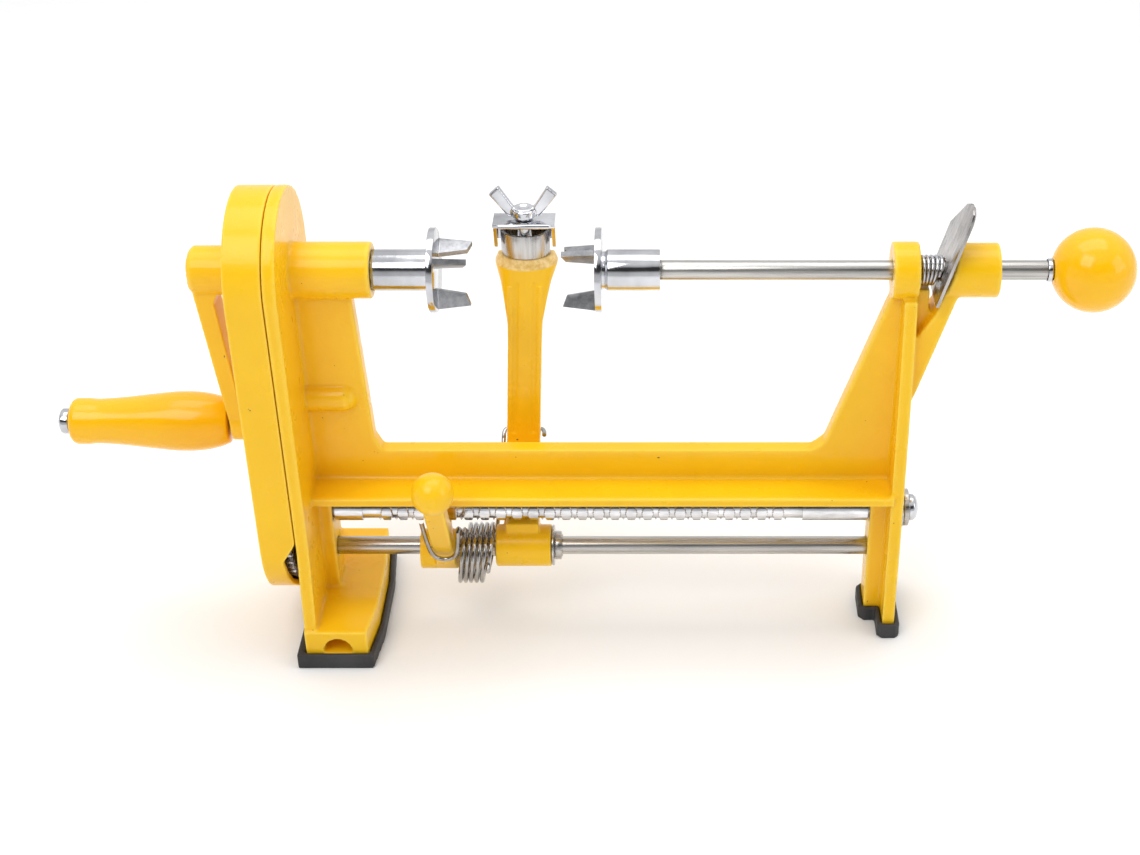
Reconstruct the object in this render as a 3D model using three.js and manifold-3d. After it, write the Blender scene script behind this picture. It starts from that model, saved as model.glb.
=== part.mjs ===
// Hand-cranked fruit peeler: a cast frame with a geared drive spindle, a lead screw that feeds the
// peeling arm along a guide rod, and a sliding tail rod that clamps the fruit.
// Millimetres. +X runs from the crank to the ball knob, +Y to the back, +Z up.
// The origin is the middle of the left foot pad's underside, on the frame's web plane.
import * as THREE from "three";
import { mergeVertices } from "three/addons/utils/BufferGeometryUtils.js";
import Module from "manifold-3d";

const wasm = await Module();
wasm.setup();

// ---- Driving dimensions ----
const GAP = 0.3; // kept between touching pieces
const ROUND = 32; // sides of a large round piece
const SMALL_ROUND = 12; // sides of a screw, pin or wire end
const ARC_STEPS = 28; // steps of a half circle in an outline

const SPINDLE_Z = 195;
const GEAR_TEETH = 44;
const GEAR_MODULE = 1.5;
const GEAR_SPACING = GEAR_TEETH * GEAR_MODULE;
const IDLER_Z = SPINDLE_Z - GEAR_SPACING;
const SCREW_Z = IDLER_Z - GEAR_SPACING;
const GUIDE_Z = 39.7;

const CASE_RADIUS = 38.5;
const CASE_WALL = 3;
const COVER_X = [-32.2, -15.3];
const PLATE_X = [-15, -9];
const PILASTER_X = [-2.4, 260.8]; // inner faces of the two pilasters
const FOOT_TOP = 20;
const WEB_HALF = 4;
const BEAM_Z = [79, 83.2, 99]; // underside, shelf and top
const SHELF_HALF = 22.5;
const LEG_X = [269, 275];
const PAD_Z = 4.5;
const PAD_TOP = 8;
const FOOT_SCREW_X = 3;
const FOOT_SCREW_Y = [-28, 28];
const BOSS_RADIUS = 13;
const BOSS_END = 27.7; // right face of the spindle boss
const REAR_BOSS_END = 311.7;

const SPINDLE_RADIUS = 6;
const ROD_RADIUS = 4.5;
const JOURNAL_RADIUS = 5;
const SCREW_RADIUS = 6.5;
const BUSH_RADIUS = 6.4;
const SCREW_SHANK_RADIUS = 1.7;

const FORK_DISC_RADIUS = 19.4;
const FORK_DISC_THICK = 3;
const FORK_HUB_RADIUS = 9.5;
const DRIVE_DISC_X = 54;
const TAIL_DISC_X = 132;
const DRIVE_FINS = [20, 140, 260]; // in degrees round the axis
const TAIL_FINS = [7, 127, 247];
const SET_SCREW_X = 41;
const GEAR_X = [-26.5, -18.5];

const CRANK_X = [-55, -32.7];
const CRANK_REACH = 81.5;
const BALL_X = 355.2;
const BALL_RADIUS = 19.4;

const SLEEVE_RADIUS = 5.6;
const LEVER_HUB_X = [39, 57.5];
const LEVER_BALL_RADIUS = 10.1;
const ARM_HUB_X = [76.6, 104];
const ARM_X = 94;
const ARM_HALF = 8.2;
const BOLT_Y = 42.6; // of the wing bolt, behind the guide rod
const ARM_LEAN = 0.045; // run towards +X for each millimetre of height, below the head
const HEAD_FOOT = 134; // above the guide rod, like the next three
const HEAD_TOP = 140.4;
const BLADE_TOP = 152.6;
const CAP_Z = [157.4, 160];

const SPRING_SAG = 4.5;
const SPRING_RADIUS = 14.4;
const SPRING_WIRE = 0.9;

const LOCK_LEAN = THREE.MathUtils.degToRad(16.2);
const LOCK_X = 286.6;

// ---- Materials ----
const material = (color, roughness, metalness) =>
  new THREE.MeshStandardMaterial({ color, roughness, metalness });
const paint = () => material(0xfdc518, 0.3, 0);
const plastic = () => material(0xffb41c, 0.15, 0);
const chrome = () => material(0xe2e4e8, 0.1, 1);
const steel = () => material(0xa8a6a4, 0.3, 1);
const bronze = () => material(0x9c7440, 0.4, 1);
const rubber = () => material(0x2e2e30, 0.8, 0);

// ---- Solids ----
// The closed solid of a geometry, turned to face out.
function solidOf(geometry) {
  const bare = new THREE.BufferGeometry();
  const source = geometry.index ? geometry.toNonIndexed() : geometry;
  bare.setAttribute("position", source.getAttribute("position"));
  const merged = mergeVertices(bare, 1e-4);
  const corners = merged.index.array;
  const triangles = [];
  for (let i = 0; i < corners.length; i += 3) {
    const [a, b, c] = [corners[i], corners[i + 1], corners[i + 2]];
    if (a !== b && b !== c && a !== c) triangles.push([a, b, c]);
  }
  const build = (list) =>
    new wasm.Manifold(
      new wasm.Mesh({
        numProp: 3,
        vertProperties: merged.attributes.position.array,
        triVerts: new Uint32Array(list.flat()),
      }),
    );
  const made = build(triangles);
  return made.volume() > 0 ? made : build(triangles.map(([a, b, c]) => [a, c, b]));
}

function geometryOf(solid) {
  const mesh = solid.getMesh();
  return new THREE.BufferGeometry()
    .setAttribute("position", new THREE.BufferAttribute(mesh.vertProperties, 3))
    .setIndex(new THREE.BufferAttribute(mesh.triVerts, 1));
}

const join = (first, ...others) => others.reduce((whole, one) => whole.add(one), first);
const cut = (first, ...others) => others.reduce((whole, one) => whole.subtract(one), first);

// A body turned about a line along X through (y, z). The profile lists [x, radius].
function turned(profile, y = 0, z = 0, sides = ROUND) {
  const ends = [profile[0][0], profile[profile.length - 1][0]];
  const points = [[ends[0], 0], ...profile, [ends[1], 0]];
  const lathe = new THREE.LatheGeometry(
    points.map(([x, radius]) => new THREE.Vector2(radius, x)),
    sides,
  );
  return solidOf(lathe.rotateZ(-Math.PI / 2).translate(0, y, z));
}

const bar = (radius, x0, x1, y = 0, z = 0, sides = ROUND) =>
  turned([[x0, radius], [x1, radius]], y, z, sides);

// An upright round bar on (x, y).
function upright(radius, x, y, z0, z1, sides = SMALL_ROUND) {
  const rod = new THREE.CylinderGeometry(radius, radius, z1 - z0, sides);
  return solidOf(rod.rotateX(Math.PI / 2).translate(x, y, (z0 + z1) / 2));
}

function block([x0, x1], [y0, y1], [z0, z1]) {
  const box = new THREE.BoxGeometry(x1 - x0, y1 - y0, z1 - z0);
  return solidOf(box.translate((x0 + x1) / 2, (y0 + y1) / 2, (z0 + z1) / 2));
}

const outline = (points) => new THREE.Shape(points.map(([a, b]) => new THREE.Vector2(a, b)));

function extruded(shape, depth, toWorld) {
  const options = { depth, steps: 1, bevelEnabled: false, curveSegments: ARC_STEPS };
  return solidOf(new THREE.ExtrudeGeometry(shape, options).applyMatrix4(toWorld));
}

const AXES = [
  new THREE.Vector3(1, 0, 0),
  new THREE.Vector3(0, 1, 0),
  new THREE.Vector3(0, 0, 1),
];
const [EAST, NORTH, UP] = AXES;

// Outlines in the YZ, XZ and XY planes, extruded along the third axis. The first can lean towards +X.
function alongX(shape, x0, x1, lean = 0) {
  const rise = UP.clone().addScaledVector(EAST, lean);
  const place = new THREE.Matrix4().makeBasis(NORTH, rise, EAST).setPosition(x0, 0, 0);
  return extruded(shape, x1 - x0, place);
}
function alongY(shape, y0, y1) {
  const south = NORTH.clone().negate();
  const place = new THREE.Matrix4().makeBasis(EAST, UP, south).setPosition(0, y1, 0);
  return extruded(shape, y1 - y0, place);
}
function alongZ(shape, z0, z1) {
  const place = new THREE.Matrix4().makeTranslation(0, 0, z0);
  return extruded(shape, z1 - z0, place);
}

// Round wire along a smooth curve through the points.
function wire(points, radius, steps, sides = 6) {
  const path = new THREE.CatmullRomCurve3(points.map((p) => new THREE.Vector3(...p)));
  const section = new THREE.Shape();
  for (let i = 0; i < sides; i++) {
    const angle = (2 * Math.PI * i) / sides;
    const corner = [radius * Math.cos(angle), radius * Math.sin(angle)];
    if (i) section.lineTo(...corner);
    else section.moveTo(...corner);
  }
  const options = { steps, extrudePath: path, bevelEnabled: false };
  return solidOf(new THREE.ExtrudeGeometry(section, options));
}

// ---- Scene graph ----
const peeler = new THREE.Group();

function lineAt(z) {
  const line = new THREE.Group();
  line.position.z = z;
  peeler.add(line);
  return line;
}
const spindleLine = lineAt(SPINDLE_Z);
const idlerLine = lineAt(IDLER_Z);
const screwLine = lineAt(SCREW_Z);
const guideLine = lineAt(GUIDE_Z);

function add(parent, name, solid, look) {
  const mesh = new THREE.Mesh(geometryOf(solid), look);
  mesh.name = name;
  parent.add(mesh);
  return mesh;
}

// ---- Frame ----
// Two half circles joined by straight sides, in the YZ plane.
function obround(radius, lowZ, highZ) {
  const shape = new THREE.Shape();
  shape.absarc(0, highZ, radius, 0, Math.PI, false);
  shape.absarc(0, lowZ, radius, Math.PI, 2 * Math.PI, false);
  return shape;
}

const COVER_SCREWS = [-1, 1].flatMap((side) =>
  [SPINDLE_Z, IDLER_Z].map((z) => [side * 27, z - GEAR_SPACING / 2]),
);

// The long left foot: slightly wider in its middle.
const LEFT_FOOT = [
  [-15, -45],
  [15.5, -45],
  [18.2, -22],
  [18.2, 12],
  [15.5, 42],
  [-15, 42],
];

function leftFrame() {
  const plate = alongX(obround(CASE_RADIUS, SCREW_Z, SPINDLE_Z), ...PLATE_X);
  const skirt = alongX(
    outline([
      [-45, PAD_Z + GAP],
      [42, PAD_Z + GAP],
      [38.5, SCREW_Z],
      [-38.5, SCREW_Z],
    ]),
    ...PLATE_X,
  );
  const foot = alongZ(outline(LEFT_FOOT), PAD_Z + GAP, FOOT_TOP);
  const spindleBoss = bar(BOSS_RADIUS, PLATE_X[1] - 1, BOSS_END, 0, SPINDLE_Z);
  // The idler's boss bulges from both faces of the gusset, round its axle.
  const idlerBosses = [-3, 3].map((y) =>
    turned([[PLATE_X[1] - 1, 6.4], [10, 6.4], [13.2, 4.8], [15, 2.4]], y, IDLER_Z),
  );
  const pilaster = block(
    [PLATE_X[1] - 1, PILASTER_X[0]],
    [-8.5, 8.5],
    [FOOT_TOP - 1, BEAM_Z[1]],
  );
  const gusset = alongY(
    outline([
      [PLATE_X[1] - 1, BEAM_Z[1]],
      [31, BEAM_Z[1]],
      [25, BEAM_Z[2]],
      [21.5, 106],
      [17, SPINDLE_Z - 8],
      [PLATE_X[1] - 1, SPINDLE_Z - 8],
    ]),
    -WEB_HALF,
    WEB_HALF,
  );
  return join(plate, skirt, foot, spindleBoss, ...idlerBosses, pilaster, gusset);
}

function beam() {
  const [underside, shelf, top] = BEAM_Z;
  const flange = block([PLATE_X[1] - 1, LEG_X[0] + 1], [-SHELF_HALF, SHELF_HALF], [underside, shelf]);
  const web = block([PLATE_X[1] - 1, LEG_X[0] + 1], [-WEB_HALF, WEB_HALF], [shelf - 1, top]);
  return join(flange, web);
}

function rightFrame() {
  const leg = alongX(
    outline([
      [-22, PAD_Z + GAP],
      [22, PAD_Z + GAP],
      [20.5, BEAM_Z[0]],
      [16.5, SPINDLE_Z - 40],
      [13, SPINDLE_Z - 10],
      [-13, SPINDLE_Z - 10],
      [-16.5, SPINDLE_Z - 40],
      [-20.5, BEAM_Z[0]],
    ]),
    ...LEG_X,
  );
  const pilaster = block([PILASTER_X[1], LEG_X[0] + 1], [-8, 8], [PAD_Z + GAP, BEAM_Z[1]]);
  const gusset = alongY(
    outline([
      [228, BEAM_Z[1]],
      [LEG_X[0] + 1, BEAM_Z[1]],
      [LEG_X[0] + 1, SPINDLE_Z - 10],
      [264.5, SPINDLE_Z - 10],
      [237, 104],
      [231, BEAM_Z[2]],
    ]),
    -WEB_HALF,
    WEB_HALF,
  );
  const ring = bar(BOSS_RADIUS, 263.6, 275.4, 0, SPINDLE_Z);
  // The strut and the rear boss share one sloping front face, close behind the locking plate.
  const strut = alongY(
    outline([
      [LEG_X[1] - 1, 125],
      [277.6, 134],
      [293.5, SPINDLE_Z - 9],
      [289.4, SPINDLE_Z],
      [284, SPINDLE_Z - 18],
      [LEG_X[1] - 0.4, SPINDLE_Z - 33],
    ]),
    -9.5,
    9.5,
  );
  // A web between the leg and the strut, clear of the plate when it tilts.
  const web = alongY(
    outline([
      [LEG_X[1] - 1, 160],
      [276.4, 160],
      [282.4, 174.8],
      [281.2, 178],
      [281.2, SPINDLE_Z - 8.4],
      [LEG_X[1] - 1, SPINDLE_Z - 8.4],
    ]),
    -WEB_HALF,
    WEB_HALF,
  );
  const rearBoss = bar(BOSS_RADIUS - 0.5, 282, REAR_BOSS_END, 0, SPINDLE_Z);
  const sloped = alongY(
    outline([
      [270, SPINDLE_Z - 20],
      [283.6, SPINDLE_Z - 20],
      [295.4, SPINDLE_Z + 20],
      [270, SPINDLE_Z + 20],
    ]),
    -20,
    20,
  );
  return join(leg, pilaster, gusset, ring, strut, web, cut(rearBoss, sloped));
}

// A pocket with a flat floor and a round top, in the front face of the left foot.
function footPocket() {
  const [middle, half, floor] = [1, 6.8, 7.2];
  const shape = new THREE.Shape();
  shape.moveTo(middle - half, floor);
  shape.lineTo(middle + half, floor);
  shape.absarc(middle, floor + 1.6, half, 0, Math.PI, false);
  return alongY(shape, -50, -34);
}

function frameCasting() {
  const whole = join(leftFrame(), beam(), rightFrame());
  const bores = [
    bar(8.8, -20, 40, 0, SPINDLE_Z),
    bar(JOURNAL_RADIUS + GAP, -20, 8, 0, IDLER_Z),
    bar(BUSH_RADIUS + GAP, -20, 0, 0, SCREW_Z),
    bar(BUSH_RADIUS + GAP, 255, 280, 0, SCREW_Z),
    bar(ROD_RADIUS + GAP, -20, 0, 0, GUIDE_Z),
    bar(ROD_RADIUS + GAP, 255, 280, 0, GUIDE_Z),
    bar(ROD_RADIUS + GAP, 255, 320, 0, SPINDLE_Z),
  ];
  const screwHoles = COVER_SCREWS.map(([y, z]) =>
    bar(SCREW_SHANK_RADIUS + GAP, -20, PLATE_X[1] - 1.5, y, z, SMALL_ROUND),
  );
  const footHoles = FOOT_SCREW_Y.map((y) => upright(2.3, FOOT_SCREW_X, y, 0, 15.5));
  return cut(whole, ...bores, ...screwHoles, footPocket(), ...footHoles);
}
add(peeler, "frame_casting", frameCasting(), paint());

function gearCover() {
  const shell = alongX(obround(CASE_RADIUS, SCREW_Z, SPINDLE_Z), ...COVER_X);
  const inside = alongX(
    obround(CASE_RADIUS - CASE_WALL, SCREW_Z, SPINDLE_Z),
    COVER_X[0] + CASE_WALL,
    0,
  );
  const posts = COVER_SCREWS.map(([y, z]) =>
    bar(6, COVER_X[0] + 1, COVER_X[1], y, z, SMALL_ROUND),
  );
  const holes = COVER_SCREWS.map(([y, z]) =>
    turned(
      [
        [-40, 4.2],
        [COVER_X[0] + 2.6, 4.2],
        [COVER_X[0] + 2.6, SCREW_SHANK_RADIUS + GAP],
        [0, SCREW_SHANK_RADIUS + GAP],
      ],
      y,
      z,
      SMALL_ROUND,
    ),
  );
  const spindleHole = bar(SPINDLE_RADIUS + 0.6, -40, 0, 0, SPINDLE_Z);
  // The opening at the lower front rim, with a sloping top.
  const window = alongY(
    outline([
      [COVER_X[1] + 1, 28],
      [COVER_X[1] + 1, 70],
      [COVER_X[1] - 1, 66],
      [COVER_X[1] - 6.4, 57],
      [COVER_X[1] - 5, 39],
      [COVER_X[1] - 1, 31],
    ]),
    -45,
    -20,
  );
  return cut(join(cut(shell, inside), ...posts), ...holes, spindleHole, window);
}
add(peeler, "gear_cover", gearCover(), paint());

COVER_SCREWS.forEach(([y, z], index) => {
  const left = COVER_X[0];
  const head = turned([[left + 0.2, 2.8], [left + 1, 3.7], [left + 2.3, 3.7]], 0, 0, SMALL_ROUND);
  const shank = bar(SCREW_SHANK_RADIUS, left + 2, PLATE_X[1] - 2.2, 0, 0, SMALL_ROUND);
  const screw = add(peeler, `cover_screw_${index + 1}`, join(head, shank), chrome());
  screw.position.set(0, y, z);
});

// ---- Feet ----
// Cups round the underside of each foot: a floor and a low rim.
function footPad(points, grow, growLeft = grow) {
  const [sumX, sumY] = points.reduce(([a, b], [x, y]) => [a + x, b + y], [0, 0]);
  const [midX, midY] = [sumX / points.length, sumY / points.length];
  return outline(
    points.map(([x, y]) => [x < midX ? x - growLeft : x + grow, y + Math.sign(y - midY) * grow]),
  );
}

function leftPad() {
  const cup = alongZ(footPad(LEFT_FOOT, 2.6, 4.2), 0, PAD_TOP);
  const recess = alongZ(footPad(LEFT_FOOT, GAP), PAD_Z, 12);
  const holes = FOOT_SCREW_Y.map((y) => upright(4.4, FOOT_SCREW_X, y, -1, 3));
  const shanks = FOOT_SCREW_Y.map((y) => upright(2.3, FOOT_SCREW_X, y, -1, 12));
  return cut(cup, recess, ...holes, ...shanks);
}
add(peeler, "left_foot_pad", leftPad(), rubber());

// A bar along Y under the leg, with a stem under the pilaster.
function teeOutline(grow) {
  const shape = new THREE.Shape();
  const [barX0, barX1] = [LEG_X[0] - grow, LEG_X[1] + grow];
  const [barY, stemX, stemY] = [22 + grow, PILASTER_X[1] - grow, 8 + grow];
  shape.moveTo(barX0, -stemY);
  shape.lineTo(barX0, -barY + 2);
  shape.lineTo(barX0 + 2, -barY);
  shape.lineTo(barX1 - 2, -barY);
  shape.lineTo(barX1, -barY + 2);
  shape.lineTo(barX1, barY - 2);
  shape.lineTo(barX1 - 2, barY);
  shape.lineTo(barX0 + 2, barY);
  shape.lineTo(barX0, barY - 2);
  shape.lineTo(barX0, stemY);
  shape.lineTo(stemX + 3, stemY);
  shape.lineTo(stemX, stemY - 3);
  shape.lineTo(stemX, -stemY + 3);
  shape.lineTo(stemX + 3, -stemY);
  return shape;
}
function rightPad() {
  const inside = join(
    block([LEG_X[0] - GAP, LEG_X[1] + GAP], [-22 - GAP, 22 + GAP], [PAD_Z, 12]),
    block([PILASTER_X[1] - GAP, LEG_X[1]], [-8 - GAP, 8 + GAP], [PAD_Z, 12]),
  );
  return cut(alongZ(teeOutline(2.6), 0, PAD_TOP), inside);
}
add(peeler, "right_foot_pad", rightPad(), rubber());

FOOT_SCREW_Y.forEach((y, index) => {
  const head = upright(4, 0, 0, 1.2, 2.7);
  const shank = upright(2, 0, 0, 2, 14);
  const names = ["front", "rear"];
  const screw = add(peeler, `foot_screw_${names[index]}`, join(head, shank), steel());
  screw.position.set(FOOT_SCREW_X, y, 0);
});

// ---- Gears ----
function gear(bore, phase) {
  const step = (2 * Math.PI) / GEAR_TEETH;
  const pitch = (GEAR_TEETH * GEAR_MODULE) / 2;
  const [root, tip] = [pitch - 2, pitch + 1.2];
  const [rootHalf, tipHalf] = [1.5 / root, 0.55 / tip];
  const points = [];
  for (let tooth = 0; tooth < GEAR_TEETH; tooth++) {
    const middle = (tooth + phase) * step;
    const corners = [[root, -rootHalf], [tip, -tipHalf], [tip, tipHalf], [root, rootHalf]];
    for (const [radius, turn] of corners) {
      points.push([radius * Math.cos(middle + turn), radius * Math.sin(middle + turn)]);
    }
  }
  const rim = alongX(outline(points), ...GEAR_X);
  const hub = bar(10.5, -27.2, -15.6);
  return cut(join(rim, hub), bar(bore + GAP, -40, 0));
}
add(spindleLine, "drive_gear", gear(SPINDLE_RADIUS, 0), steel());
add(idlerLine, "idler_gear", gear(JOURNAL_RADIUS, 0.5), steel());
add(screwLine, "screw_gear", gear(JOURNAL_RADIUS, 0), steel());

const ringBetween = (inner, outer, x0, x1) => cut(bar(outer, x0, x1), bar(inner, x0 - 1, x1 + 1));

add(idlerLine, "idler_axle", bar(JOURNAL_RADIUS, -28.8, 7.6), steel());
add(idlerLine, "idler_clip", ringBetween(JOURNAL_RADIUS + GAP, 8, -28.4, -27.5), steel());

// ---- Drive spindle and crank ----
const driveSpindle = cut(
  bar(SPINDLE_RADIUS, -49.7, 49.6),
  bar(2.4, -60, -38.5, 0, 0, SMALL_ROUND),
  upright(2.3, SET_SCREW_X, 0, -8, -3),
);
add(spindleLine, "drive_spindle", driveSpindle, steel());
add(spindleLine, "spindle_bush", ringBetween(SPINDLE_RADIUS + GAP, 8.5, -14.7, BOSS_END - GAP), bronze());

// One fin of a fork, in the upright plane of the axis, running from the disc towards "side".
function forkFin(discFace, side, angle) {
  const fin = alongY(
    outline([
      [discFace - side * 0.6, 9],
      [discFace - side * 0.6, 18.5],
      [discFace + side * 15, 16.6],
      [discFace + side * 13, 11.3],
    ]),
    -1.35,
    1.35,
  );
  return fin.rotate([angle - 90, 0, 0]);
}

function driveFork() {
  const face = DRIVE_DISC_X + FORK_DISC_THICK;
  const body = join(
    bar(FORK_HUB_RADIUS, BOSS_END + 0.5, DRIVE_DISC_X + 1),
    bar(FORK_DISC_RADIUS, DRIVE_DISC_X, face),
    ...DRIVE_FINS.map((angle) => forkFin(face, 1, angle)),
  );
  return cut(body, bar(SPINDLE_RADIUS + GAP, 20, 50.2), upright(2.3, SET_SCREW_X, 0, -12, 0));
}
add(spindleLine, "drive_fork", driveFork(), chrome());
add(spindleLine, "fork_set_screw", upright(2, SET_SCREW_X, 0, -9, -4), steel());

function crankArm() {
  const [left, right] = CRANK_X;
  const foot = -CRANK_REACH;
  const bend = 9;
  const thick = 7.3;
  const beamShape = alongY(
    outline([
      [left + 0.4, -2],
      [left + 0.4 + bend, foot],
      [left + 0.4 + bend + thick, foot],
      [left + 3 + thick, -14],
      [left + 5 + thick, -8],
      [left + 5 + thick, -2],
    ]),
    -7.5,
    7.5,
  );
  const hub = turned([[left, 9.3], [left + 2, 11.3], [right, 11.3]]);
  const end = bar(9, left + bend + 0.4, left + bend + 0.4 + thick, 0, foot);
  return cut(
    join(hub, beamShape, end),
    bar(SPINDLE_RADIUS + GAP, -80, 0),
    bar(8.9, -80, left + 4.8),
    bar(3.2 + GAP, -80, 0, 0, foot, SMALL_ROUND),
  );
}
add(spindleLine, "crank_arm", crankArm(), paint());
add(spindleLine, "crank_washer", ringBetween(2.5, 8.5, -51.6, -50.5), chrome());
const crankScrew = join(
  turned([[-54.8, 3], [-54, 5], [-51.9, 5]], 0, 0, SMALL_ROUND),
  bar(2.1, -53, -40, 0, 0, SMALL_ROUND),
);
add(spindleLine, "crank_screw", crankScrew, chrome());

const gripLine = new THREE.Group();
gripLine.position.z = -CRANK_REACH;
spindleLine.add(gripLine);

function grip() {
  const knots = [
    [-122.6, 9.2],
    [-119, 11.3],
    [-110, 10.8],
    [-98, 11.5],
    [-85.6, 12.9],
    [-71, 14.3],
    [-60, 14],
    [-50.4, 12.4],
    [-47, 10.6],
  ];
  const curve = new THREE.SplineCurve(knots.map(([x, r]) => new THREE.Vector2(x, r)));
  const profile = curve.getPoints(16).map((p) => [p.x, p.y]);
  return cut(turned(profile), bar(3.2 + GAP, -140, 0, 0, 0, SMALL_ROUND));
}
add(gripLine, "grip", grip(), plastic());
const gripBolt = join(
  turned([[-128.3, 4], [-127.2, 6.1], [-123.4, 6.1]], 0, 0, SMALL_ROUND),
  bar(3.2, -125, -37.6, 0, 0, SMALL_ROUND),
);
add(gripLine, "grip_bolt", gripBolt, chrome());

// ---- Lead screw ----
const screwProfile = [
  [-28.6, JOURNAL_RADIUS],
  [PILASTER_X[0] + 0.5, JOURNAL_RADIUS],
  [PILASTER_X[0] + 0.5, SCREW_RADIUS],
  [12, SCREW_RADIUS],
  [12, SCREW_RADIUS - 1],
  [19.5, SCREW_RADIUS - 1],
  [19.5, SCREW_RADIUS],
  [220.5, SCREW_RADIUS],
  [220.5, SCREW_RADIUS - 1],
  [228, SCREW_RADIUS - 1],
  [228, SCREW_RADIUS],
  [PILASTER_X[1] - 0.5, SCREW_RADIUS],
  [PILASTER_X[1] - 0.5, JOURNAL_RADIUS],
  [275.2, JOURNAL_RADIUS],
];
add(screwLine, "lead_screw", cut(turned(screwProfile), bar(2.3, 262, 280)), steel());
const screwBush = (x0, x1) => ringBetween(JOURNAL_RADIUS + GAP, BUSH_RADIUS, x0, x1);
add(screwLine, "screw_bush_left", screwBush(-14.7, PILASTER_X[0] - 0.1), bronze());
add(screwLine, "screw_bush_right", screwBush(PILASTER_X[1] + 0.1, 274.8), bronze());
add(screwLine, "screw_end_washer", ringBetween(2.3, 9.8, 275.7, 277.3), steel());
add(screwLine, "screw_lock_washer", ringBetween(2.3, 9.2, 277.6, 280), steel());
const endScrew = join(
  turned([[280.3, 6.6], [282.6, 6.5], [284, 5.2], [284.8, 2.6]]),
  bar(2, 263.5, 281, 0, 0, SMALL_ROUND),
);
add(screwLine, "screw_end_screw", endScrew, chrome());

// ---- Guide rod and carriage ----
add(guideLine, "guide_rod", bar(ROD_RADIUS, -14.4, 274.6), steel());

const sleeve = cut(
  turned([[39.2, 6.6], [41, 6.6], [41, SLEEVE_RADIUS], [109.4, SLEEVE_RADIUS]]),
  bar(ROD_RADIUS + GAP, 30, 120),
);
add(guideLine, "carriage_sleeve", sleeve, steel());

// The lever leans forward: along its length and square to it, in the YZ plane of the guide rod.
const LEVER_FOOT = [-10, 4.3];
const LEVER_RUN = [-0.496, 0.868];
const LEVER_X = 52;
const leverPoint = (along, front) => [
  LEVER_FOOT[0] + LEVER_RUN[0] * along - LEVER_RUN[1] * front,
  LEVER_FOOT[1] + LEVER_RUN[1] * along + LEVER_RUN[0] * front,
];

function followerLever() {
  const hub = join(bar(8.3, ...LEVER_HUB_X), bar(8.6, ...LEVER_HUB_X, -1, -3));
  const stalk = alongX(
    outline([leverPoint(-8, 4.9), leverPoint(60, 4.3), leverPoint(60, -4.3), leverPoint(-4, -4.9)]),
    LEVER_X - 4.9,
    LEVER_X + 4.9,
  );
  const ball = new THREE.SphereGeometry(LEVER_BALL_RADIUS, 28, 16);
  ball.translate(LEVER_X + 0.8, ...leverPoint(65, 0));
  const seat = block([46, 54], [-2, 7], [6, 12]);
  const pinHole = upright(2.8, 50, 2.5, 7, 14);
  const body = join(hub, stalk, solidOf(ball), seat);
  return cut(body, bar(SLEEVE_RADIUS + GAP, 30, 70), bar(6.9, 30, 41.3), pinHole);
}
add(guideLine, "follower_lever", followerLever(), paint());
add(guideLine, "thread_follower", upright(2.5, 50, 2.5, 8, 16), bronze());

// Coils round the sleeve; the left leg loops under the lever and the right leg hooks behind the arm.
function torsionSpringPath() {
  const points = [];
  for (const [x, along, front] of [
    [LEVER_X - 7.4, 34, 0],
    [LEVER_X - 7.4, 20, 3],
    [LEVER_X - 5.5, 7, 6.6],
    [LEVER_X - 2, 2, 7.2],
    [LEVER_X + 2, 2, 7.2],
    [LEVER_X + 6, 8, 6.4],
    [LEVER_X + 8.2, 20, 3.5],
    [LEVER_X + 9, 32, 0.5],
  ]) {
    points.push([x, ...leverPoint(along, front)]);
  }
  points.push([LEVER_X + 8.6, -14, 19]);
  const turns = 5.25;
  const perTurn = 8;
  const [x0, x1] = [58.8, 74.6];
  for (let i = 0; i <= turns * perTurn; i++) {
    const share = i / (turns * perTurn);
    const angle = Math.PI / 2 + 2 * Math.PI * share * turns;
    points.push([
      x0 + (x1 - x0) * share,
      SPRING_RADIUS * Math.cos(angle),
      SPRING_RADIUS * Math.sin(angle) - SPRING_SAG,
    ]);
  }
  return points;
}
const springLegs = [
  [76, -15, 4],
  [78.4, -11, 12],
];
const springPath = [...torsionSpringPath(), ...springLegs];
add(guideLine, "torsion_spring", wire(springPath, SPRING_WIRE, 120, 5), steel());

// ---- Peeling arm ----
// The arm seen from the side, [y, z] from the guide rod: behind the screw and the beam, then up.
const ARM_FRONT = [[4, 9], [7.5, 13.5], [23, 33], [25, 45], [34, 128]];
const ARM_BACK = [[43, 128], [35.5, 45], [33, 27], [14, 2], [4, -4]];
// Sections of the head: height, half width, front and back, and how far the front is bowed.
const HEAD_SECTIONS = [
  [100, 8.2, 31, 41.4, 0.3],
  [108, 8.4, 31.9, 42.3, 0.8],
  [121, 10.6, 33.2, 44.4, 3.4],
  [128, 12.3, 33.9, 46, 7],
  [HEAD_FOOT, 14.5, 34.3, 48, 10.6],
  [136, 15.2, 34.5, 49, 12],
  [HEAD_TOP, 13.4, 36.9, 49, 11],
];

// The middle of the arm at a height above the guide rod.
const armX = (z) => ARM_X + ARM_LEAN * Math.min(0, z - HEAD_FOOT);

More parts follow.
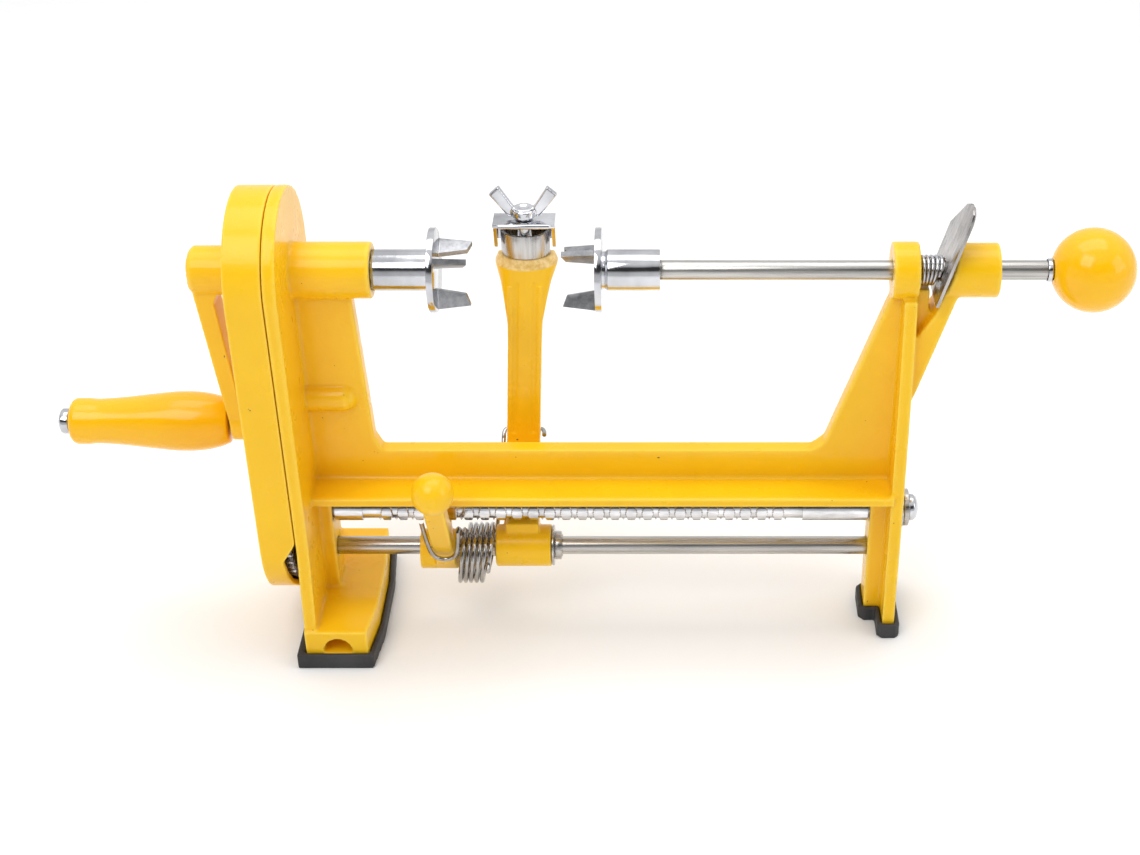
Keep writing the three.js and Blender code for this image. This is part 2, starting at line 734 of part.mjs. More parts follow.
// A solid through stacked outlines of equal length, each [height, points].
function stacked(sections) {
  const count = sections[0][1].length;
  const corners = [];
  for (const [z, points] of sections) {
    for (const [x, y] of points) corners.push([x, y, z]);
    corners.push([points.reduce((sum, [x]) => sum + x, 0) / count, points[count >> 2][1], z]);
  }
  const triangles = [];
  for (let row = 0; row < sections.length; row++) {
    const here = row * (count + 1);
    for (let i = 0; i < count; i++) {
      const next = (i + 1) % count;
      if (row === 0) triangles.push([count, next, i]);
      if (row === sections.length - 1) {
        triangles.push([here + count, here + i, here + next]);
        continue;
      }
      const above = here + count + 1;
      triangles.push([here + i, here + next, above + next], [here + i, above + next, above + i]);
    }
  }
  const positions = triangles.flat().flatMap((index) => corners[index]);
  const geometry = new THREE.BufferGeometry();
  return solidOf(geometry.setAttribute("position", new THREE.Float32BufferAttribute(positions, 3)));
}

function armHead() {
  const steps = 16;
  return stacked(
    HEAD_SECTIONS.map(([z, half, front, back, bow]) => {
      const middle = armX(z);
      const points = [];
      for (let i = 0; i <= steps; i++) {
        const across = -Math.cos((Math.PI * i) / steps);
        points.push([middle + half * across, front + bow * (1 - Math.sqrt(1 - across ** 2))]);
      }
      points.push([middle + half, back], [middle - half, back]);
      return [z, points];
    }),
  );
}

function peelingArm() {
  const hub = bar(10.5, ...ARM_HUB_X);
  const foot = armX(0);
  const side = outline([...ARM_FRONT, ...ARM_BACK]);
  const stalk = alongX(side, foot - ARM_HALF, foot + ARM_HALF, ARM_LEAN);
  // Two shallow channels leave a rib down the front face.
  const groove = outline([[20, 50], [26.2, 50], [35, 130], [20, 130]]);
  const channels = [foot - 4.6, foot + 4.6].map((x) => alongX(groove, x - 1.4, x + 1.4, ARM_LEAN));
  const saddle = block([ARM_X - 12.2, ARM_X + 4], [-3.6, 9], [7, 15.3]);
  const boltHole = upright(2.2, ARM_X, BOLT_Y, 126, 150);
  const body = join(hub, cut(join(stalk, armHead()), ...channels), saddle);
  return cut(body, bar(SLEEVE_RADIUS + GAP, 60, 120), boltHole);
}
add(guideLine, "peeling_arm", peelingArm(), paint());

// The blade is an upright strip bowed to the front, standing on the head.
function bowedStrip(halfWidth, bow, thick, middleY) {
  const outer = [];
  const inner = [];
  const steps = 12;
  for (let i = 0; i <= steps; i++) {
    const x = halfWidth * ((2 * i) / steps - 1);
    const y = middleY - bow * Math.sqrt(1 - (x / halfWidth) ** 2 * 0.96);
    outer.push([ARM_X + x, y]);
    inner.unshift([ARM_X + x * (1 - thick / halfWidth), y + thick]);
  }
  return outline([...outer, ...inner]);
}
add(guideLine, "blade", alongZ(bowedStrip(11.7, 9, 1.2, 46.5), HEAD_TOP + GAP, BLADE_TOP), chrome());

// A bent cap with a front lip, side ears, a back wall and a spacer round the bolt.
function clampCap() {
  const [low, high] = CAP_Z;
  const [front, back, half] = [35.4, 48.4, 14.6];
  const top = block([ARM_X - half, ARM_X + half], [front + 0.8, back], [low + 0.6, high]);
  const lip = bar(1.3, ARM_X - 12, ARM_X + 12, front + 1.3, high - 1.3, SMALL_ROUND);
  const wall = block([ARM_X - half, ARM_X + half], [back - 1.5, back], [low - 10, high]);
  const ears = [-1, 1].map((side) => {
    const ends = [ARM_X + side * half, ARM_X + side * (half - 1.6)].sort((a, b) => a - b);
    const shape = outline([[38.4, high], [back, high], [back, low - 10], [42, low - 12]]);
    return alongX(shape, ...ends);
  });
  const spacer = upright(3.6, ARM_X, BOLT_Y, HEAD_TOP + GAP, high - 1);
  return cut(join(top, lip, wall, spacer, ...ears), upright(2.2, ARM_X, BOLT_Y, 130, 170));
}
add(guideLine, "clamp_cap", clampCap(), chrome());

function wingBolt() {
  const base = CAP_Z[1] + GAP;
  const neck = upright(4.4, ARM_X, BOLT_Y, base, base + 2);
  const boss = upright(5.8, ARM_X, BOLT_Y, base + 1.4, base + 5, ROUND);
  const crown = upright(4.6, ARM_X, BOLT_Y, base + 4, base + 6, ROUND);
  const dimple = upright(2.4, ARM_X, BOLT_Y, base + 5.2, base + 8);
  const shank = upright(1.9, ARM_X, BOLT_Y, 128.5, base + 1);
  const wings = [-1, 1].map((side) =>
    alongY(
      outline([
        [ARM_X + side * 3, base + 1.4],
        [ARM_X + side * 7.4, base + 1.4],
        [ARM_X + side * 16, base + 12.4],
        [ARM_X + side * 11.4, base + 16.6],
        [ARM_X + side * 4, base + 5],
      ]),
      BOLT_Y - 1.6,
      BOLT_Y + 1.6,
    ),
  );
  return join(neck, boss, cut(crown, dimple), shank, ...wings);
}
add(guideLine, "wing_bolt", wingBolt(), chrome());

add(guideLine, "arm_clip", ringBetween(SLEEVE_RADIUS + GAP, 10.2, 104.4, 105.4), steel());
add(guideLine, "sleeve_ring", ringBetween(SLEEVE_RADIUS + GAP, 7.1, 105.8, 108.9), steel());

// ---- Tail rod ----
const tailRod = cut(bar(ROD_RADIUS, 134.2, 352), bar(2.3, 120, 146, 0, 0, SMALL_ROUND));
add(spindleLine, "tail_rod", tailRod, steel());

function tailFork() {
  const face = TAIL_DISC_X - FORK_DISC_THICK;
  const body = join(
    turned([
      [TAIL_DISC_X - 1, 8.6],
      [133.6, 8.6],
      [134.6, FORK_HUB_RADIUS],
      [158.3, FORK_HUB_RADIUS],
    ]),
    bar(FORK_DISC_RADIUS, face, TAIL_DISC_X),
    ...TAIL_FINS.map((angle) => forkFin(face, -1, angle)),
  );
  return cut(body, bar(ROD_RADIUS + GAP, 100, 170), bar(7, 100, 133.8), bar(7.3, 156.8, 170));
}
add(spindleLine, "tail_fork", tailFork(), chrome());
const tailForkScrew = join(
  turned([[130.4, 4.4], [131.4, 6.6], [133.4, 6.6]], 0, 0, SMALL_ROUND),
  bar(2, 133, 144, 0, 0, SMALL_ROUND),
);
add(spindleLine, "tail_fork_screw", tailForkScrew, steel());
add(spindleLine, "tail_rod_clip", ringBetween(ROD_RADIUS + GAP, 7, 157.1, 158.1), steel());

function ballKnob() {
  const ball = new THREE.SphereGeometry(BALL_RADIUS, ROUND, 18).rotateZ(Math.PI / 2);
  return cut(solidOf(ball.translate(BALL_X, 0, 0)), bar(ROD_RADIUS + GAP, 320, 352.4));
}
add(spindleLine, "ball_knob", ballKnob(), plastic());
add(spindleLine, "knob_ferrule", ringBetween(ROD_RADIUS + GAP, 5.3, 334.1, 336.1), chrome());

// ---- Locking plate and its spring ----
// In the plate's own [y, z]: straight in front, rounded at the tip and cut on a slant behind.
const LOCK_OUTLINE = [
  [-15, -11.8],
  [15.5, -11.8],
  [15.5, 17.5],
  [2, 33.6],
  [-3, 36.2],
  [-9, 36.8],
  [-13, 35.4],
  [-15, 31.6],
];
const lockPlate = cut(
  alongX(outline(LOCK_OUTLINE), -0.75, 0.75),
  bar(ROD_RADIUS + 1.2, -3, 3),
);
const lockMesh = add(spindleLine, "locking_plate", lockPlate, steel());
lockMesh.position.x = LOCK_X;
lockMesh.rotation.y = LOCK_LEAN;

function lockSpring() {
  const turns = 4;
  const perTurn = 10;
  const points = [];
  for (let i = 0; i <= turns * perTurn; i++) {
    const angle = (2 * Math.PI * i) / perTurn;
    const x = 276.6 + (6 * i) / (turns * perTurn);
    points.push([x, 6.4 * Math.cos(angle), 6.4 * Math.sin(angle)]);
  }
  return wire(points, 0.75, 56, 5);
}
add(spindleLine, "lock_spring", lockSpring(), chrome());

export default peeler;
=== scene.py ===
"""A hand-cranked fruit peeler: the looks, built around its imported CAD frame."""

import math

import bpy
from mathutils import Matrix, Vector


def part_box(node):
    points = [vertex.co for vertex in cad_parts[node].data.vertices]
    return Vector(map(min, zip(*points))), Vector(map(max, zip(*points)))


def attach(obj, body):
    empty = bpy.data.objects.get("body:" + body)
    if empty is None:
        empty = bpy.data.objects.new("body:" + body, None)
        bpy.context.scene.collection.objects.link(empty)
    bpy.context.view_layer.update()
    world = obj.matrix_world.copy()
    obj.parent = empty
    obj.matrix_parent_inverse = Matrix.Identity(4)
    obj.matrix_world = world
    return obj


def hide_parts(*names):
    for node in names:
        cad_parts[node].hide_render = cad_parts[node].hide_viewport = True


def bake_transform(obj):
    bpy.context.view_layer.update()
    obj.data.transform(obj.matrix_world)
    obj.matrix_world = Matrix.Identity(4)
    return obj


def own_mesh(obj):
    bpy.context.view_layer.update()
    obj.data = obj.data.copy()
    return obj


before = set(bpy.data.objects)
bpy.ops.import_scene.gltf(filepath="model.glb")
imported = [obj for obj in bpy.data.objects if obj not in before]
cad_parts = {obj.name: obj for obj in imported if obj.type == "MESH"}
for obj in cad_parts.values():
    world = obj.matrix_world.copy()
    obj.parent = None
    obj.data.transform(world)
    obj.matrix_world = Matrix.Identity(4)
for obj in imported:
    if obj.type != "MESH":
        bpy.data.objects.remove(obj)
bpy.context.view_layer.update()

# Places and sizes on the object are in millimetres, and MM turns them into metres.
# The camera, the lights, the floor and the depth of bumps are in metres.
MM = 0.001


def middle(node):
    low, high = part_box(node)
    return [(a + b) / 2 / MM for a, b in zip(low, high)]


def span(node, axis=0):
    low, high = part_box(node)
    return low[axis] / MM, high[axis] / MM


# Heights of the three lines that run along X.
SPINDLE_Z = middle("spindle_bush")[2]
SCREW_Z = middle("screw_end_washer")[2]
GUIDE_Z = middle("guide_rod")[2]

SHARP_ANGLE = 32  # degrees; an edge sharper than this is bevelled and stays crisp
FIN_REACH = 14.6  # of the fork fins beyond their discs
HEAD_BAND = 4.5  # height of the pale band at the top of the peeling arm

# The ball lever: its middle along X, its root, and the sine and cosine of its lean to the front.
LEVER_X = 52.0
LEVER_ROOT_Y = -10
LEVER_ROOT_RISE = 4.3
LEVER_SIN, LEVER_COS = 0.496, 0.868

FLOOR_HALF = 6
FLOOR_Z = -0.0002  # just under the pads

# Each light's name, place, aim, size and watts.
LIGHTS = (
    ("key", (-0.5, -0.9, 1.5), (0.1, 0, 0.1), (1.0, 1.0), 11),
    ("top", (0.15, 0.3, 1.6), (0.15, 0, 0.1), (1.6, 0.9), 9),
    ("right", (1.5, -0.5, 0.8), (0.2, 0, 0.12), (0.8, 0.8), 4),
)

# The sky's grey against the sine of its height, in front of the object and behind it.
SKY_FRONT = [(0.0, 0.75), (0.24, 0.6), (0.38, 0.05), (0.64, 0.04), (0.72, 0.55), (0.86, 0.9), (1.0, 1.0)]
SKY_BACK = [(0.0, 0.9), (0.25, 0.75), (0.5, 0.95), (1.0, 1.0)]


# ---------------------------------------------------------------- camera, light and floor
def make_camera():
    data = bpy.data.cameras.new("camera")
    data.sensor_width = 36
    data.lens = 58.4
    data.shift_x = -0.0842
    data.clip_end = 20
    camera = bpy.data.objects.new("camera", data)
    camera.location = (0.161, -0.7434, 0.5925)
    camera.rotation_euler = (math.radians(57), 0, 0)
    bpy.context.collection.objects.link(camera)
    bpy.context.scene.camera = camera


def area_light(name, place, aim, size, watts):
    data = bpy.data.lights.new(name, "AREA")
    data.shape = "RECTANGLE"
    data.size, data.size_y = size
    data.energy = watts
    light = bpy.data.objects.new(name, data)
    light.location = place
    direction = Vector(aim) - Vector(place)
    light.rotation_euler = direction.to_track_quat("-Z", "Y").to_euler()
    bpy.context.collection.objects.link(light)


def make_world():
    """Soft white overhead, with a dark band in front for the metal to reflect."""
    world = bpy.data.worlds.new("studio")
    bpy.context.scene.world = world
    world.use_nodes = True
    build = Builder(world)
    direction = build.split(build.directions)
    height = direction["Z"]
    front = build.grey_ramp(height, SKY_FRONT)
    back = build.grey_ramp(height, SKY_BACK)
    behind = build.range(direction["Y"], 0, 1, -0.25, 0.15)
    colour = build.mix(behind, front, back)
    background = build.nodes["Background"]
    build.links.new(colour, background.inputs["Color"])
    background.inputs["Strength"].default_value = 1.0


def make_floor():
    mesh = bpy.data.meshes.new("floor")
    corners = [(x * FLOOR_HALF, y * FLOOR_HALF, 0) for x, y in ((-1, -1), (1, -1), (1, 1), (-1, 1))]
    mesh.from_pydata(corners, [], [(0, 1, 2, 3)])
    floor = bpy.data.objects.new("floor", mesh)
    floor.location.z = FLOOR_Z
    bpy.context.collection.objects.link(floor)
    material, shader, _ = new_material("floor_white")
    shader.inputs["Base Color"].default_value = (0.93, 0.93, 0.93, 1)
    shader.inputs["Roughness"].default_value = 0.9
    shader.inputs["Specular IOR Level"].default_value = 0.1
    mesh.materials.append(material)


# ---------------------------------------------------------------- materials
class Builder:
    """Adds and links the nodes of one material, or of the world."""

    def __init__(self, owner):
        self.nodes = owner.node_tree.nodes
        self.links = owner.node_tree.links
        texture = self.nodes.new("ShaderNodeTexCoord")
        self.coords = texture.outputs["Object"]
        self.directions = texture.outputs["Generated"]  # in the world only

    def stretched(self, scale):
        mapping = self.nodes.new("ShaderNodeMapping")
        mapping.inputs["Scale"].default_value = scale
        self.links.new(self.coords, mapping.inputs["Vector"])
        return mapping.outputs["Vector"]

    def noise(self, scale, detail=3, rough=0.5, vector=None):
        node = self.nodes.new("ShaderNodeTexNoise")
        node.inputs["Scale"].default_value = scale
        node.inputs["Detail"].default_value = detail
        node.inputs["Roughness"].default_value = rough
        self.links.new(vector or self.coords, node.inputs["Vector"])
        return node.outputs["Fac"]

    def ramp(self, factor, stops):
        node = self.nodes.new("ShaderNodeValToRGB")
        elements = node.color_ramp.elements
        while len(elements) < len(stops):
            elements.new(0.5)
        for element, (position, colour) in zip(elements, stops):
            element.position = position
            element.color = (*colour, 1)
        self.links.new(factor, node.inputs["Fac"])
        return node.outputs["Color"]

    def grey_ramp(self, factor, stops):
        return self.ramp(factor, [(position, (grey, grey, grey)) for position, grey in stops])

    def split(self, vector):
        """The X, Y and Z of a vector."""
        node = self.nodes.new("ShaderNodeSeparateXYZ")
        self.links.new(vector, node.inputs[0])
        return node.outputs

    def mix(self, factor, a, b):
        node = self.nodes.new("ShaderNodeMix")
        node.data_type = "RGBA"
        for socket, value in ((node.inputs[0], factor), (node.inputs[6], a), (node.inputs[7], b)):
            if isinstance(value, bpy.types.NodeSocket):
                self.links.new(value, socket)
            else:
                socket.default_value = value
        return node.outputs[2]

    def range(self, value, low, high, start=0, end=1):
        node = self.nodes.new("ShaderNodeMapRange")
        node.inputs["From Min"].default_value = start
        node.inputs["From Max"].default_value = end
        node.inputs["To Min"].default_value = low
        node.inputs["To Max"].default_value = high
        self.links.new(value, node.inputs["Value"])
        return node.outputs["Result"]

    def bump(self, height, strength, distance, below=None):
        node = self.nodes.new("ShaderNodeBump")
        node.inputs["Strength"].default_value = strength
        node.inputs["Distance"].default_value = distance
        self.links.new(height, node.inputs["Height"])
        if below:
            self.links.new(below, node.inputs["Normal"])
        return node.outputs["Normal"]

    def pointiness(self):
        return self.nodes.new("ShaderNodeNewGeometry").outputs["Pointiness"]


def new_material(name):
    material = bpy.data.materials.new(name)
    material.use_nodes = True
    shader = material.node_tree.nodes["Principled BSDF"]
    return material, shader, Builder(material)


def paint_material(name="yellow_enamel", bare_above=None):
    """Glossy enamel on a casting. Above the given height the paint is worn thin and pale."""
    material, shader, build = new_material(name)
    tone = build.noise(22, 3)
    colour = build.ramp(tone, [(0.3, (0.90, 0.515, 0.006)), (0.7, (0.96, 0.57, 0.009))])
    # The outside edges of the casting are painted paler, a painted highlight along with enamel pulled thin
    # there, and its corners are painted darker as painted shade.
    most = 0.25 if bare_above else 1.0
    edge = build.grey_ramp(build.pointiness(), [(0.505, 0), (0.56, most)])
    colour = build.mix(edge, colour, (0.98, 0.68, 0.07, 1))
    # Painted shade: the corners of the casting are painted darker.
    painted_corner_shade = build.grey_ramp(build.pointiness(), [(0.42, most), (0.495, 0)])
    colour = build.mix(painted_corner_shade, colour, (0.80, 0.40, 0.003, 1))
    # A few pinholes where dirt sat under the paint.
    pits = build.grey_ramp(build.noise(330, 2, 0.6), [(0.765, 0), (0.775, 1)])
    colour = build.mix(pits, colour, (0.10, 0.06, 0.02, 1))
    if bare_above:
        height = build.split(build.coords)["Z"]
        worn = build.range(height, 0, 1, bare_above, bare_above + 0.4 * MM)
        scuffs = build.noise(400, 3, 0.6)
        pale = build.ramp(scuffs, [(0.35, (0.74, 0.46, 0.12)), (0.65, (0.92, 0.68, 0.30))])
        colour = build.mix(worn, colour, pale)
    build.links.new(colour, shader.inputs["Base Color"])
    rough = build.range(build.noise(60, 3), 0.22, 0.36)
    build.links.new(rough, shader.inputs["Roughness"])
    shader.inputs["Coat Weight"].default_value = 0.2
    shader.inputs["Coat Roughness"].default_value = 0.1
    shader.inputs["Specular IOR Level"].default_value = 0.25
    cast = build.bump(build.noise(75, 3, 0.55), 0.35, 0.0012)
    peel = build.bump(build.noise(700, 2, 0.5), 0.16, 0.00025, cast)
    build.links.new(peel, shader.inputs["Normal"])
    return material


def plastic_material():
    material, shader, build = new_material("orange_plastic")
    colour = build.ramp(build.noise(18, 2), [(0.35, (0.94, 0.47, 0.003)), (0.7, (0.97, 0.53, 0.005))])
    build.links.new(colour, shader.inputs["Base Color"])
    build.links.new(build.range(build.noise(120, 3), 0.12, 0.22), shader.inputs["Roughness"])
    shader.inputs["Coat Weight"].default_value = 0.2
    shader.inputs["Coat Roughness"].default_value = 0.06
    shader.inputs["Specular IOR Level"].default_value = 0.3
    shader.inputs["Subsurface Weight"].default_value = 0.12
    shader.inputs["Subsurface Radius"].default_value = (0.004, 0.002, 0.0005)
    shader.inputs["Subsurface Scale"].default_value = 1.0
    turning = build.noise(260, 2, 0.5, build.stretched((6, 0.6, 0.6)))
    build.links.new(build.bump(turning, 0.06, 0.0004), shader.inputs["Normal"])
    return material


def chrome_material(name="bright_chrome", dull_from=None, dull_to=None):
    """Plated metal. Between the two places along X it is as cast, so it is darker and rougher."""
    material, shader, build = new_material(name)
    colour = build.ramp(build.noise(45, 4), [(0.35, (0.47, 0.475, 0.50)), (0.65, (0.70, 0.71, 0.745))])
    rough = build.range(build.noise(90, 4, 0.6), 0.05, 0.17)
    if dull_from:
        along = build.split(build.coords)["X"]
        fade = 0.5 * MM
        grains = build.noise(260, 4, 0.7)
        as_cast = build.ramp(grains, [(0.3, (0.22, 0.225, 0.24)), (0.7, (0.42, 0.425, 0.44))])
        after = build.range(along, 0, 1, dull_from * MM - fade, dull_from * MM)
        before = build.range(along, 0, 1, dull_to * MM, dull_to * MM + fade)
        colour = build.mix(before, build.mix(after, colour, as_cast), colour)
        rough_cast = build.range(grains, 0.22, 0.4)
        rough = build.mix(before, build.mix(after, rough, rough_cast), rough)
    build.links.new(colour, shader.inputs["Base Color"])
    shader.inputs["Metallic"].default_value = 1.0
    build.links.new(rough, shader.inputs["Roughness"])
    build.links.new(build.bump(build.noise(140, 3), 0.12, 0.0004), shader.inputs["Normal"])
    return material


def steel_material(name, tint, along=(14, 700, 700), rough=(0.2, 0.36), painted_groove_shade=False):
    """Drawn or ground metal, with fine lines along the stretched axis and, when asked, painted shade
    darkening its corners and grooves.
    """
    material, shader, build = new_material(name)
    lines = build.noise(1.0, 4, 0.65, build.stretched(along))
    light = tuple(min(1, 1.3 * c) for c in tint)
    dark = tuple(0.72 * c for c in tint)
    colour = build.ramp(lines, [(0.3, dark), (0.7, light)])
    if painted_groove_shade:
        # Painted shade: darker where the surface folds inward, in corners and the bottoms of grooves.
        corners = build.grey_ramp(build.pointiness(), [(0.40, 1), (0.48, 0)])
        colour = build.mix(corners, colour, (0.03, 0.03, 0.035, 1))
    build.links.new(colour, shader.inputs["Base Color"])
    shader.inputs["Metallic"].default_value = 1.0
    build.links.new(build.range(lines, *rough), shader.inputs["Roughness"])
    build.links.new(build.bump(lines, 0.2, 0.0002), shader.inputs["Normal"])
    return material


def rubber_material():
    material, shader, build = new_material("black_rubber")
    colour = build.ramp(build.noise(40, 4), [(0.35, (0.022, 0.022, 0.024)), (0.7, (0.045, 0.045, 0.048))])
    build.links.new(colour, shader.inputs["Base Color"])
    build.links.new(build.range(build.noise(150, 3), 0.5, 0.72), shader.inputs["Roughness"])
    build.links.new(build.bump(build.noise(900, 2), 0.3, 0.0003), shader.inputs["Normal"])
    return material


# ---------------------------------------------------------------- mesh tools
def smooth_group():
    """Geometry nodes that shade smooth, but keep the sharp edges."""
    group = bpy.data.node_groups.new("smooth_by_angle", "GeometryNodeTree")
    for in_out in ("INPUT", "OUTPUT"):
        group.interface.new_socket("Geometry", in_out=in_out, socket_type="NodeSocketGeometry")
    nodes, links = group.nodes, group.links
    start, end = nodes.new("NodeGroupInput"), nodes.new("NodeGroupOutput")
    strip = nodes.new("GeometryNodeRemoveAttribute")
    strip.inputs["Name"].default_value = "custom_normal"
    faces = nodes.new("GeometryNodeSetShadeSmooth")
    edges = nodes.new("GeometryNodeSetShadeSmooth")
    edges.domain = "EDGE"
    edges.inputs["Shade Smooth"].default_value = False
    angle = nodes.new("GeometryNodeInputMeshEdgeAngle")
    above = nodes.new("FunctionNodeCompare")
    above.data_type = "FLOAT"
    above.operation = "GREATER_THAN"
    above.inputs["B"].default_value = math.radians(SHARP_ANGLE)
    links.new(start.outputs[0], strip.inputs[0])
    links.new(strip.outputs[0], faces.inputs[0])
    links.new(faces.outputs[0], edges.inputs[0])
    links.new(angle.outputs["Unsigned Angle"], above.inputs["A"])
    links.new(above.outputs[0], edges.inputs["Selection"])
    links.new(edges.outputs[0], end.inputs[0])
    return group


SMOOTH = smooth_group()


def shade(piece):
    piece.modifiers.new("smooth", "NODES").node_group = SMOOTH


def weld(piece, distance):
    piece.modifiers.new("weld", "WELD").merge_threshold = distance * MM


def dress(node, material, bevel, segments=2):
    """Welds, bevels and shades a CAD node, and gives it its material."""
    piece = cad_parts[node]
    weld(piece, 0.02)
    if bevel:
        edge = piece.modifiers.new("bevel", "BEVEL")
        edge.width = bevel * MM
        edge.segments = segments
        edge.limit_method = "ANGLE"
        edge.angle_limit = math.radians(SHARP_ANGLE)
    shade(piece)
    set_material(piece, material)


def cast(node, material, voxel, rounds):
    """Gives a CAD node the soft corners of a casting."""
    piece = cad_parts[node]
    remesh = piece.modifiers.new("skin", "REMESH")
    remesh.mode = "VOXEL"
    remesh.voxel_size = voxel * MM * 1
    remesh.use_smooth_shade = True
    soften = piece.modifiers.new("soften", "SMOOTH")
    soften.factor = 0.5
    soften.iterations = rounds
    set_material(piece, material)


def set_material(piece, material):
    for slot in piece.material_slots:
        slot.material = material


def mesh_piece(name, vertices, faces, material):
    mesh = bpy.data.meshes.new(name)
    mesh.from_pydata([tuple(c * MM for c in v) for v in vertices], [], faces)
    mesh.validate()
    piece = bpy.data.objects.new(name, mesh)
    bpy.context.collection.objects.link(piece)
    mesh.materials.append(material)
    shade(piece)
    return piece


def adopt(piece, body, slot, *nodes):
    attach(piece, body)
    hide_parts(*nodes)


def turned(name, profile, y, z, material, sides=72):
    """A piece turned about a line along X. A profile that starts and ends off the axis is a ring."""
    vertices, faces = [], []
    ring = profile[0][1] > 0
    rows = len(profile)
    for x, radius in profile:
        for i in range(sides):
            angle = 2 * math.pi * i / sides
            vertices.append((x, y + radius * math.cos(angle), z + radius * math.sin(angle)))
    for row in range(rows if ring else rows - 1):
        a, b = row * sides, ((row + 1) % rows) * sides
        for i in range(sides):
            j = (i + 1) % sides
            faces.append((a + i, a + j, b + j, b + i))
    piece = mesh_piece(name, vertices, faces, material)
    # Each end point on the axis became a ring of points in one place, which the weld closes.
    weld(piece, 0.005)
    piece.modifiers.move(len(piece.modifiers) - 1, 0)
    return piece


def arc(middle_x, middle_r, radius, start, end, steps):
    """Profile points along a circle about a point, its angles in degrees from +X."""
    points = []
    for i in range(steps + 1):
        angle = math.radians(start + (end - start) * i / steps)
        points.append((middle_x + radius * math.cos(angle), middle_r + radius * math.sin(angle)))
    return points


def spline(points, per_span):
    """A Catmull-Rom curve through the points."""
    ends = [points[0], *points, points[-1]]
    curve = []
    for i in range(1, len(ends) - 2):
        p0, p1, p2, p3 = (Vector(p) for p in ends[i - 1 : i + 3])
        for step in range(per_span):
            t = step / per_span
            curve.append(
                0.5
                * (
                    2 * p1
                    + (p2 - p0) * t
                    + (2 * p0 - 5 * p1 + 4 * p2 - p3) * t**2
                    + (3 * p1 - p0 - 3 * p2 + p3) * t**3
                )
            )
    curve.append(Vector(points[-1]))
    return curve


def wire(name, points, radius, material, sides=12):
    """Round wire swept along the points with a frame that doesn't twist."""
    vertices, faces = [], []
    side = None
    for i, point in enumerate(points):
        ahead = points[min(i + 1, len(points) - 1)] - points[max(i - 1, 0)]
        ahead.normalize()
        if side is None:
            side = ahead.orthogonal().normalized()
        side = (side - ahead * side.dot(ahead)).normalized()
        other = ahead.cross(side)
        for k in range(sides):
            angle = 2 * math.pi * k / sides
            vertices.append(point + radius * (math.cos(angle) * side + math.sin(angle) * other))
    for i in range(len(points) - 1):
        a, b = i * sides, (i + 1) * sides
        for k in range(sides):
            m = (k + 1) % sides
            faces.append((a + k, b + k, b + m, a + m)[::-1])
    faces.append(tuple(range(sides))[::-1])
    last = (len(points) - 1) * sides
    faces.append(tuple(last + k for k in range(sides)))
    return mesh_piece(name, vertices, faces, material)


# ---------------------------------------------------------------- pieces
def make_grip(material):
    x0, x1 = span("grip")
    _, y, z = middle("grip")
    # Radii along the swelling body, from just inside the rounded outer end.
    rounded = 3.4
    knots = [
        (x0 + rounded, 11.1),
        (x0 + 8, 11.1),
        (x0 + 13.5, 10.75),
        (x0 + 24.6, 11.5),
        (x0 + 37, 12.9),
        (x0 + 51.6, 14.3),
        (x0 + 62, 14.0),
        (x0 + 70, 12.5),
        (x1 - 1.2, 10.9),
    ]
    body = [(p.x, p.y) for p in spline([(x, r, 0) for x, r in knots], 8)]
    bore = 3.5
    profile = [(x0, bore), (x0, 8.0), *arc(x0 + rounded, 7.8, 3.3, 178, 96, 6), *body]
    profile += [(x1 - 0.3, 10.4), (x1, 9.4), (x1, bore)]
    piece = turned("crank_grip", profile, y, z, material)
    adopt(piece, "grip", "orange_plastic", "grip")


def make_ball(material):
    x0, x1 = span("ball_knob")
    _, y, z = middle("ball_knob")
    radius = 19.38
    centre = x1 - radius - 0.02
    # The rod's socket ends past the centre, and the ball is flat round its mouth.
    socket, socket_end = 4.8, centre + 10
    mouth = 6.2
    start = 180 - math.degrees(math.asin(mouth / radius))
    profile = [(socket_end, 0.0), (socket_end, socket), (x0 + 0.3, socket), (x0 + 0.1, mouth - 0.3)]
    profile += arc(centre, 0, radius, start, 0.0, 56)
    profile[-1] = (profile[-1][0], 0.0)
    piece = turned("tail_knob", profile, y, z, material, 96)
    adopt(piece, "tail_rod", "orange_plastic", "ball_knob")


def thread_depth(turn, x, lead, width):
    """How deep the two crossing grooves cut here, from 0 to 1."""
    wall = 0.25
    depth = 0.0
    for hand in (1, -1):
        away = (x - hand * lead * turn) % lead
        away = min(away, lead - away)
        depth = max(depth, min(1.0, max(0.0, (width / 2 - away) / wall + 0.5)))
    return depth


